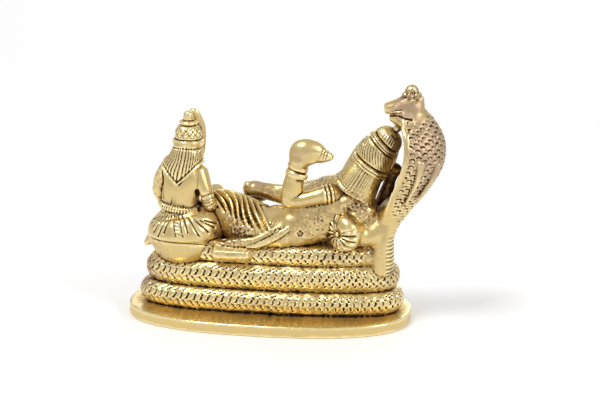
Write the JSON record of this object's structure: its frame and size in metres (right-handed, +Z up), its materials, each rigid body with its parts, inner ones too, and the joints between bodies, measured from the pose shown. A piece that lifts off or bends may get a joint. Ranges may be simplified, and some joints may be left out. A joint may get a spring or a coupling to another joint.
{
  "type": "reclining god and seated goddess statue",
  "caption": "Small cast brass group of a god reclining on a coiled serpent under its hood, a goddess seated at the feet, in one with an oval plinth.",
  "frame": {"origin": "centre of the oval plinth's underside", "axes": "+Z up, the figures face -Y, the serpent's hood stands at the -X end and the seated figure at the +X end"},
  "size_m": [0.0888, 0.041, 0.0675],
  "materials": {
    "brass": "chased and hand polished, dark in the grooves"
  },
  "bodies": {
    "root": {"statue_casting": "brass"}
  },
  "joints": []
}
